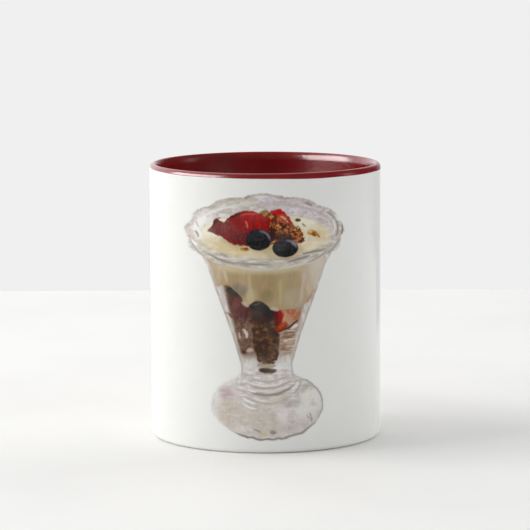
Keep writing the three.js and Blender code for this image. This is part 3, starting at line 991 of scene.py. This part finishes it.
def painted_topping(inks):
    """Strawberries, granola and two blueberries on the cream."""
    inputs = PAINTED + [("Grain", "Color", None), ("Seeds", "Float", 0.0)]
    sheet, given, result = group("Painted Topping", inputs, [("Color", "Color")])
    brush = Brush(sheet, given["Place"], given["Under"])
    across = sheet.part(given["Place"], "x")

    # Shade that the fruit casts on the cream.
    brush.oval("#BFA97C", (-6.0, 72.4), (10.0, 2.2), turn=-8, soft=2.0, strength=0.7)
    brush.oval("#BCA57C", (6.0, 70.4), (7.0, 3.4), soft=2.0, strength=0.6)

    # A strawberry at the back, behind the granola.
    brush.oval("#8A6B24", (-0.4, 83.2), (1.6, 0.9), turn=15, soft=0.8)
    low = [(0.0, 80), (4, 78), (9.6, 78)]
    high = [(0.0, 82), (2.4, 84.1), (5, 84.3), (7.4, 82.4), (9.6, 79.2)]
    back = brush.between(low, high, 0.6, given["Fine"])
    brush.over("#A32A1C", back)
    with brush.inside(back):
        brush.oval("#BB120F", (4.6, 83.3), (2.8, 1.0), turn=-12, soft=0.8)
        brush.oval("#BC5A38", (5.8, 81.0), (1.7, 1.3), turn=-30, soft=1.2)
        brush.stroke("#E0A77E", (5.0, 82.2), (8.0, 79.6), bow=0.2, width=0.6, soft=0.5)
        brush.grain("#5F0F0C", given["Fine"], -0.6)
    brush.oval("#5A2A12", (1.8, 81.3), (2.2, 1.4), turn=-20, soft=0.9)
    with brush.inside(brush.shape((1.6, 81.6), (2.8, 1.6), turn=-20)["Mask"]):
        brush.grain("#C88F4A", given["Fine"], 0.9)

    # The big strawberry at the left, cut and laid on its side.
    low = [(-20.6, 76.6), (-17, 75.4), (-14, 74.0), (-11.6, 72.4), (-7, 71.9), (3.6, 73)]
    high = [(-20.6, 76.8), (-19, 78.2), (-17, 81.0), (-15.2, 79.9), (-13, 81.2), (-10.6, 82.7)]
    high += [(-7, 83.9), (-3, 83.4), (0, 82.0), (3.6, 79.0)]
    body = brush.between(low, high, 0.7, given["Fine"], 0.4)
    brush.over(tuple(inks.strawberry), body)
    with brush.inside(body):
        brush.over("#6A2625", sheet.ease(across, -10.0, -16.5))
        brush.over("#6F4A42", sheet.ease(across, -17.0, -20.0))
        brush.oval("#A30808", (-2.4, 80.6), (5.6, 3.0), turn=-12, soft=3.0)
        brush.oval("#8C0A0A", (1.4, 79.0), (2.4, 2.6), soft=2.0)
        brush.oval("#560F10", (-7.6, 74.2), (4.6, 2.0), turn=-10, soft=2.5)
        brush.oval("#85282A", (-13.0, 77.4), (2.2, 2.2), turn=-30, soft=2.5, strength=0.7)
        brush.oval("#4C1E1B", (-16.8, 79.8), (1.6, 1.2), soft=1.0)
        brush.grain("#4F0507", given["Streak"], -0.5)
        brush.grain("#C02A22", given["Fine"], 0.25)
    brush.stroke("#C4635B", (-6.9, 80.8), (-6.1, 77.8), bow=0.2, width=0.6, soft=0.7)
    brush.stroke("#430E0F", (-12.8, 80.8), (-7.4, 83.3), bow=0.3, width=0.7, soft=0.7)
    brush.stroke("#D03A2C", (-9.0, 82.3), (-2.0, 82.6), bow=0.4, width=0.6, soft=0.6)
    brush.oval("#B58A5C", (-16.2, 81.2), (0.6, 0.4), soft=0.5)
    with brush.inside(body):
        brush.over("#C9784A", given["Seeds"])

    # Granola beside it, with crumbs on the cream.
    low = [(1.2, 73), (3.6, 72.6), (7.4, 73.6), (10.2, 72.4), (13.2, 73.0)]
    high = [(1.2, 78), (3, 80.0), (7, 79.6), (9.6, 78.8), (12.0, 77.6), (13.2, 74.4)]
    heap = brush.between(low, high, 0.6, given["Fine"], 1.2)
    brush.over(given["Grain"], heap)
    brush.oval("#3A140D", (2.3, 75.6), (1.1, 2.0), soft=1.0)
    brush.oval("#2A1009", (5.2, 75.0), (3.6, 1.5), turn=-6, soft=1.8, strength=0.8)
    brush.oval("#6B4326", (11.2, 80.5), (1.0, 0.6), soft=0.5)
    brush.oval("#4F3320", (11.0, 80.7), (0.5, 0.4), soft=0.5)
    brush.stroke("#A98F62", (12.6, 79.6), (14.2, 78.2), bow=-0.2, width=0.6, soft=0.5)
    brush.oval("#BE8038", (16.4, 76.0), (1.9, 0.9), turn=-8, soft=0.6)
    brush.oval("#8A4E1C", (17.2, 75.4), (1.0, 0.7), turn=-20, soft=0.5)
    brush.stroke("#B0803C", (17.4, 76.0), (19.4, 74.0), bow=0.1, width=0.9, soft=0.5)
    brush.oval("#E2B878", (15.6, 76.4), (0.8, 0.4), soft=0.4)
    brush.oval("#AE7E30", (-7.2, 70.7), (1.6, 0.6), turn=-6, soft=0.5)
    brush.oval("#7C4F1E", (-6.6, 70.9), (0.8, 0.4), soft=0.4)

    # The blueberries.
    berry = shared(blueberry, inks)
    left = {"centre": (-2.3, 74.0, 0), "size": (4.4, 3.7, 1), "crown": (-1.9, 75.0, 0)}
    right = {"centre": (6.8, 71.1, 0), "size": (4.5, 3.2, 1), "crown": (5.6, 72.9, 0)}
    look = {"place": given["Place"], "fine": given["Fine"]}
    for where in (left, right):
        brush.colour = sheet.place(berry, under=brush.colour, **look, **where)["Color"]
    brush.oval("#858087", (9.8, 72.7), (1.1, 0.7), turn=-30, soft=0.8, strength=0.8)
    sheet.feed(result["Color"], brush.colour)
    return sheet.tree


def printed_front(finish, inks):
    """The white glaze with the dessert printed under it. Everything that is looked up in a
    texture comes first and the painting after it, or the shader would run out of room."""
    sheet, shader, made = material("Printed Front")
    skin = sheet.place(shared(glaze_skin), peel=1.0, pinholes=1.0, seed=0.0)
    spot = sheet.place(shared(print_place))
    stirred = spot["Stirred"]
    grain = sheet.place(shared(print_grain), place=spot["Place"])
    deep = sheet.place(shared(granola), place=stirred, crumbs=0.55)
    top = sheet.place(shared(granola), place=stirred, crumbs=0.85)
    swirl = sheet.ease(sheet.noise(stirred, 0.16, 2), 0.42, 0.62, 0.0, 0.35)
    seeds = {"Vector": stirred, "Scale": 0.62}
    seeds = sheet.add("ShaderNodeTexVoronoi", seeds, feature="F1").outputs["Distance"]
    seeds = sheet.ease(seeds, 0.17, 0.06, 0.0, 0.4)

    def toasted(crumbs, tones):
        parts = {name.lower(): crumbs[name] for name in ("Lit", "Pale", "Gaps")}
        tones = {name: linear(tone) for name, tone in tones.items()}
        return sheet.place(shared(toast), **parts, **tones)["Color"]

    paint = {"place": spot["Place"], "loose": spot["Loose"], "under": tuple(finish.white)}
    paint.update((name.lower(), grain[name]) for name in ("Fine", "Coarse", "Ripple", "Streak"))

    def layer(maker, **more):
        paint["under"] = sheet.place(shared(maker, inks), **paint, **more)["Color"]

    layer(painted_foot)
    layer(painted_stem)
    dim = {"brown": "#52351F", "top": "#654325", "oat": "#82592F", "dark": "#38241A"}
    layer(painted_bowl, grain=toasted(deep, dim))
    layer(painted_rim, swirl=swirl)
    crisp = {"brown": "#87431F", "top": "#B4682F", "oat": "#D49C5C", "dark": "#38140C"}
    layer(painted_topping, grain=toasted(top, crisp), seeds=seeds)
    finish_white_glaze(sheet, shader, skin, paint["under"])
    return made


# ---------------------------------------------------------------- the pieces


class MUG_OT_body(Operator):
    """Builds the white glazed cup, whose lip and inside lie under the red glaze"""

    bl_idname = "mug.body"
    bl_label = "Body"

    def execute(self, context):
        shape, finish = context.scene.mug_shape, context.scene.mug_finish
        edge = shape.foot_edge
        inner = RADIUS - edge - shape.foot_ring
        lift = 0.12 * MM  # the bare foot ring stands this much lower than the glaze
        brow, heel = 0.9 * MM, 0.5 * MM  # radii where the recess's slope ends and starts
        lap = 0.2 * MM  # how far the white glaze runs on under the red
        outline = [(0, shape.recess_depth)]
        outline += arc(inner - shape.recess_slope, shape.recess_depth - brow, brow, 90, 45, 5)
        outline += arc(inner + heel, heel + lift, heel, 225, 270, 5)
        outline += arc(RADIUS - edge, edge, edge, -86, 0, 14)
        outline.append((RADIUS, HEIGHT - shape.dip + lap))
        outline += cup_outline(shape, shape.glaze / 2)
        bm = turned(outline, CUP_STEPS)
        waver_edge(bm, shape)
        made = piece("mug_body", bm, shared(white_glaze, finish))
        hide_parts("mug")
        return {"FINISHED"}


class MUG_OT_print(Operator):
    """Builds the printed front, a thin skin of glaze over the cup's wall that carries the print"""

    bl_idname = "mug.print"
    bl_label = "Print"

    def execute(self, context):
        wide, low, high = PRINT_WIDTH / 2, PRINT_LOW, PRINT_HIGH
        proud, sunk = 0.03 * MM, -0.3 * MM  # the skin's outer and inner face, from the cup's wall
        columns, rows = 64, 8
        bm = bmesh.new()
        bmesh.ops.create_grid(bm, x_segments=columns, y_segments=rows, size=1, calc_uvs=True)
        front = bm.faces[:]
        raised = bmesh.ops.extrude_face_region(bm, geom=front)["geom"]
        raised = {v for v in raised if isinstance(v, bmesh.types.BMVert)}
        layout = bm.loops.layers.uv.verify()
        for vert in bm.verts:
            across, up = vert.co.x * wide, low + (vert.co.y + 1) / 2 * (high - low)
            out = RADIUS + (proud if vert in raised else sunk)
            angle = across / RADIUS
            vert.co = (out * math.sin(angle), AXIS_Y - out * math.cos(angle), up)
        bmesh.ops.recalc_face_normals(bm, faces=bm.faces)
        lay_out(bm, layout, raised, wide * 2, high - low)
        printed = shared(printed_front, context.scene.mug_finish, context.scene.mug_print)
        made = piece("mug_print", bm, printed)
        made.data.uv_layers[0].name = "OFBake"
        return {"FINISHED"}


def lay_out(bm, layout, raised, width, height):
    """Lays the printed face out flat and true to scale, with the hidden faces in a narrow strip
    beside it."""
    margin, strip, narrow = 0.01, 0.97, 0.02
    whole = 1 - 2 * margin
    share = whole / height
    for face in bm.faces:
        shown = all(vert in raised for vert in face.verts)
        for loop in face.loops:
            spot = loop.vert.co
            across = math.atan2(spot.x, AXIS_Y - spot.y) * RADIUS + width / 2
            up = spot.z - PRINT_LOW
            if shown:
                loop[layout].uv = (margin + across * share, margin + up * share)
            else:
                along = margin + up * share * whole
                loop[layout].uv = (strip + across * share * narrow, along)


class MUG_OT_lining(Operator):
    """Builds the red glaze inside the cup, over the lip and a little down the outside"""

    bl_idname = "mug.lining"
    bl_label = "Lining"

    def execute(self, context):
        shape, finish = context.scene.mug_shape, context.scene.mug_finish
        proud, bead = 0.05 * MM, 0.1 * MM  # out from the white glaze, and the edge's radius
        edge = HEIGHT - shape.dip
        outline = arc(RADIUS + proud - bead, edge + bead, bead, -80, 0, 4)
        outline += cup_outline(shape, 0.0)
        outline += cup_outline(shape, shape.glaze)[::-1]
        outline.append((RADIUS - shape.glaze, edge + bead))
        bm = turned(outline, CUP_STEPS)
        waver_edge(bm, shape)
        piece("mug_lining", bm, shared(red_glaze, finish))
        return {"FINISHED"}


def waver_edge(bm, shape):
    """Moves the edge between the two glazes up and down round the cup, but not the lip's top."""
    low, high = HEIGHT - shape.dip, HEIGHT - 0.2 * MM
    inside, below = RADIUS - 0.6 * MM, low - 0.1 * MM
    for vert in bm.verts:
        around = math.atan2(vert.co.x, AXIS_Y - vert.co.y)
        far = math.hypot(vert.co.x, vert.co.y - AXIS_Y)
        if far < inside or not below < vert.co.z < high:
            continue
        share = min((high - vert.co.z) / (high - low), 1.0)
        wave = 0.2 * math.sin(5 * around + 2.6) + 0.12 * math.sin(11 * around + 0.4)
        vert.co.z += shape.dip_waver * (wave - math.sin(around)) * share


class MUG_OT_foot(Operator):
    """Builds the bare clay ring that the mug stands on"""

    bl_idname = "mug.foot"
    bl_label = "Foot Ring"

    def execute(self, context):
        shape, finish = context.scene.mug_shape, context.scene.mug_finish
        outer = RADIUS - shape.foot_edge - 0.1 * MM  # just in from the glaze on both sides
        inner = RADIUS - shape.foot_edge - shape.foot_ring + 0.45 * MM
        top, soft = 0.7 * MM, 0.12 * MM  # its height inside the body, and its edges' radius
        outline = arc(inner + soft, soft, soft, 180, 270, 3)
        outline += arc(outer - soft, soft, soft, -90, 0, 3)
        outline += [(outer, top), (inner, top)]
        bm = turned(outline, FOOT_STEPS, closed=True)
        piece("mug_foot", bm, shared(bare_clay, finish), sharp=60)
        return {"FINISHED"}


class MUG_OT_handle(Operator):
    """Builds the red handle, an oval strap filleted into the cup's wall at both roots"""

    bl_idname = "mug.handle"
    bl_label = "Handle"

    def execute(self, context):
        shape, finish = context.scene.mug_shape, context.scene.mug_finish
        stations = handle_stations(shape)
        bm = bmesh.new()
        steps = len(stations) - 1
        bar = {"segments": STRAP_SIDES, "radius1": 1, "radius2": 1, "depth": steps}
        bmesh.ops.create_cone(bm, cap_ends=True, **bar)
        sides = [e for e in bm.edges if abs(e.verts[0].co.z - e.verts[1].co.z) > 0.5]
        bmesh.ops.subdivide_edges(bm, edges=sides, cuts=steps - 1)
        for vert in bm.verts:
            station = stations[round(vert.co.z + steps / 2)]
            vert.co = station(vert.co.x, vert.co.y)
        bmesh.ops.recalc_face_normals(bm, faces=bm.faces)
        piece("mug_handle", bm, shared(red_glaze, finish), sharp=60)
        return {"FINISHED"}


def handle_stations(shape):
    """One function for each cross-section, from the upper root to the lower one, that puts a
    point of the unit circle in its place."""
    wide, thick = shape.strap_width / 2, shape.strap_thickness / 2
    root, out = AXIS_Y + RADIUS, AXIS_Y + RADIUS + REACH - thick
    upper = [(root, shape.root_top), (root + UPPER_PULL, shape.root_top + UPPER_CLIMB)]
    upper += [(out, shape.root_top + TOP_CLIMB), (out, shape.belly)]
    lower = [(out, shape.belly), (out, shape.belly - BELLY_PULL)]
    lower += [(root + LOWER_PULL, shape.root_bottom + LOWER_CLIMB), (root, shape.root_bottom)]
    line = [upper[0]] + bezier(*upper, STRAP_CURVE) + bezier(*lower, STRAP_CURVE)
    path = [Vector((0, *point)) for point in line]
    reached = [0.0]
    for here, after in zip(path, path[1:]):
        reached.append(reached[-1] + (after - here).length)
    whole = reached[-1]
    straight_on = 5 * MM  # over which the strap bends from straight out of the wall to its line
    by_hand = 0.012  # how uneven the strap is

    def on_path(far):
        """The place and direction of the strap's middle line, so far along it."""
        here = min(max(bisect.bisect_right(reached, far) - 1, 0), len(path) - 2)
        step = path[here + 1] - path[here]
        return path[here] + step * ((far - reached[here]) / step.length), step.normalized()

    def section(far):
        depth = min(far, whole - far)  # out from the cup's wall
        middle, ahead = on_path(far)
        straight = Vector((0, 1 if far < whole / 2 else -1, 0))
        settled = min(max(depth / straight_on, 0.0), 1.0)
        ahead = (straight * (1 - settled) + ahead * settled).normalized()
        inward = Vector((-1, 0, 0)).cross(ahead)
        flare = max(0.0, 1 - max(depth, 0.0) / shape.flare_length) ** 2
        grow = root_fillet(depth, shape.root_fillet)
        half_wide = wide * (1 + shape.root_flare * flare) + grow
        half_thick = thick * (1 + shape.root_flare * flare) + grow

        def put(a, b):
            x = a * half_wide
            sag = (RADIUS - math.sqrt(RADIUS * RADIUS - x * x)) * (1 - settled)
            uneven = 1 + by_hand * math.sin(5 * math.atan2(b, a) + 90 * far)
            return middle + Vector((x, -sag, 0)) + inward * (b * half_thick * uneven)

        return put

    # Close together where the fillets are, and even between them.
    near = [-0.7, 0, 0.12, 0.28, 0.5, 0.8, 1.15, 1.6, 2.2, 3.0, 4.0, 5.2, 6.6]
    root_end = 8 * MM
    between = whole - 2 * root_end
    places = [d * MM for d in near]
    places += [root_end + between * i / STRAP_STEPS for i in range(STRAP_STEPS + 1)]
    places += [whole - d * MM for d in near[::-1]]
    return [section(far) for far in places]


def root_fillet(depth, radius):
    """How much a rounded fillet widens the strap, at a depth out from the wall. It meets the
    wall at an angle, as glaze does, and goes no wider inside the wall."""
    meets, widest = math.radians(25), 0.98
    left = radius * math.cos(meets) - depth
    if left <= 0:
        return 0.0
    return radius - math.sqrt(radius * radius - min(left, radius * widest) ** 2)


# ---------------------------------------------------------------- the stage


class MUG_OT_stage(Operator):
    """Sets up the floor, the lights and the camera"""

    bl_idname = "mug.stage"
    bl_label = "Stage"

    def execute(self, context):
        stage = context.scene.mug_stage
        add_floor(stage)
        add_room(context.scene, stage)
        key = stage.key
        add_light("window", -90, 50, 36, 24, key, glossy=False)
        add_light("window_low", -90, 8, 40, 12, key * 0.4, glossy=False)
        add_light("back_left", -150, 30, 30, 40, key * 0.2, glossy=False)
        add_light("back_right", 125, 25, 40, 40, key * 0.52, glossy=False)
        add_light("window_gleam", -75, 20, 57, 40, key * 6, diffuse=False)
        add_light("side_gleam", 90, 12, 12, 30, key * 0.1, diffuse=False)
        add_camera(context.scene, stage)
        context.scene.view_settings.view_transform = "Standard"
        return {"FINISHED"}


def add_floor(stage):
    """A table top whose far edge stands against the pale room."""
    half, behind = 0.75, 0.36  # half the top's width, and how much of it lies behind the cup
    sunk = -0.02 * MM  # just clear of the foot ring
    bm = bmesh.new()
    bmesh.ops.create_grid(bm, x_segments=1, y_segments=1, size=half)
    bmesh.ops.translate(bm, vec=(0, AXIS_Y + behind - half, sunk), verts=bm.verts)
    mesh = bpy.data.meshes.new("floor")
    bm.to_mesh(mesh)
    bm.free()
    sheet, shader, made = material("Pale Floor")
    place = sheet.add("ShaderNodeTexCoord").outputs["Object"]
    cloud = sheet.ease(sheet.noise(place, 9, 3), 0.35, 0.7, 0.0, 0.25)
    sheet.feed(shader["Base Color"], sheet.mix(cloud, tuple(stage.floor), linear("#DEDDDA")))
    shader["Roughness"].default_value = 0.7
    shader["Specular IOR Level"].default_value = 0.25
    mesh.materials.append(made)
    floor = bpy.data.objects.new("floor", mesh)
    bpy.context.scene.collection.objects.link(floor)


def add_room(scene, stage):
    """A pale room, lightest at the left and darkest behind the mug, and the backdrop that the
    camera sees."""
    world = bpy.data.worlds.new("room")
    world.use_nodes = True
    scene.world = world
    sheet = Sheet(world.node_tree)
    glow = next(n for n in world.node_tree.nodes if n.type == "BACKGROUND")
    end = next(n for n in world.node_tree.nodes if n.type == "OUTPUT_WORLD")
    way = sheet.add("ShaderNodeTexCoord").outputs["Generated"]
    dull_sides = {(-1, 0, 0): 0.9, (1, 0, 0): 1.0, (0, -1, 0): 0.3, (0, 0, 1): 0.25}
    dull_sides[0, 1, 0] = 0.85
    glossy_sides = {(0, -1, 0): 0.12, (0, 0, 1): 0.06, (-0.8, 0.6, 0): 2.4}

    def glow_from(sides):
        level = 0.0
        for side, share in sides.items():
            facing = sheet.vector("DOT_PRODUCT", way, side, out="Value")
            facing = sheet.math("MAXIMUM", facing, 0.0)
            level = sheet.math("MULTIPLY_ADD", facing, stage.fill * share, level)
        return level

    ray = sheet.add("ShaderNodeLightPath").outputs
    glossy, dull = glow_from(glossy_sides), glow_from(dull_sides)
    level = sheet.math("MULTIPLY_ADD", sheet.minus(glossy, dull), ray["Is Glossy Ray"], dull)
    glow.inputs["Color"].default_value = linear("#FBFCFF")
    sheet.feed(glow.inputs["Strength"], level)
    backdrop = {"Color": tuple(stage.backdrop), "Strength": 1.0}
    backdrop = sheet.add("ShaderNodeBackground", backdrop).outputs[0]
    shown = {0: ray["Is Camera Ray"], 1: glow.outputs[0], 2: backdrop}
    both = sheet.add("ShaderNodeMixShader", shown)
    sheet.feed(end.inputs["Surface"], both.outputs[0])


def add_light(name, around, above, wide, tall, power, diffuse=True, glossy=True):
    """A soft panel facing the mug. Its place round the mug from the camera's side and above it is
    in degrees, and so are its width and height as seen from the mug. It lights surfaces, or shows
    in their gloss, or both."""
    around, above = math.radians(around), math.radians(above)
    level = math.cos(above)
    way = Vector((math.sin(around) * level, -math.cos(around) * level, math.sin(above)))
    data = bpy.data.lights.new(name, "AREA")
    data.shape = "RECTANGLE"
    data.size = 2 * LIGHT_DISTANCE * math.tan(math.radians(wide / 2))
    data.size_y = 2 * LIGHT_DISTANCE * math.tan(math.radians(tall / 2))
    data.energy = power
    lamp = bpy.data.objects.new(name, data)
    turn = (-way).to_track_quat("-Z", "Y").to_matrix().to_4x4()
    place = Vector((0, AXIS_Y, HEIGHT / 2)) + way * LIGHT_DISTANCE
    lamp.matrix_world = Matrix.Translation(place) @ turn
    lamp.visible_camera = False
    lamp.visible_diffuse, lamp.visible_glossy = diffuse, glossy
    bpy.context.scene.collection.objects.link(lamp)


def add_camera(scene, stage):
    data = bpy.data.cameras.new("camera")
    data.sensor_width = 36
    data.lens = stage.camera_lens
    data.clip_start, data.clip_end = 0.05, 20
    camera = bpy.data.objects.new("camera", data)
    back = AXIS_Y - stage.camera_back
    place = Matrix.Translation((stage.camera_aside, back, stage.camera_up))
    tilt = Matrix.Rotation(math.radians(90) - stage.camera_pitch, 4, "X")
    roll = Matrix.Rotation(stage.camera_roll, 4, "Z")
    camera.matrix_world = place @ tilt @ roll
    scene.collection.objects.link(camera)
    scene.camera = camera


# ---------------------------------------------------------------- the add-on


class MUG_PT_panel(Panel):
    """Lists the steps and their settings in the 3D view's sidebar"""

    bl_idname = "MUG_PT_panel"
    bl_label = "Printed Mug"
    bl_space_type = "VIEW_3D"
    bl_region_type = "UI"
    bl_category = "Mug"

    def draw(self, context):
        layout = self.layout
        for step in STEPS:
            layout.operator(step.bl_idname)
        for family in SETTINGS:
            settings = getattr(context.scene, family)
            box = layout.box()
            for name in settings.__annotations__:
                box.prop(settings, name)


STEPS = (MUG_OT_stage, MUG_OT_body, MUG_OT_print, MUG_OT_lining, MUG_OT_foot, MUG_OT_handle)
SETTINGS = {"mug_shape": MugShape, "mug_finish": MugFinish}
SETTINGS.update(mug_print=MugPrint, mug_stage=MugStage)


def register():
    for kind in (*SETTINGS.values(), *STEPS, MUG_PT_panel):
        bpy.utils.register_class(kind)
    for name, kind in SETTINGS.items():
        setattr(bpy.types.Scene, name, PointerProperty(type=kind))


def unregister():
    for name in SETTINGS:
        delattr(bpy.types.Scene, name)
    for kind in reversed((*SETTINGS.values(), *STEPS, MUG_PT_panel)):
        bpy.utils.unregister_class(kind)


def main():
    register()
    for step in STEPS:
        family, name = step.bl_idname.split(".")
        getattr(getattr(bpy.ops, family), name)()


if __name__ == "__main__":
    main()
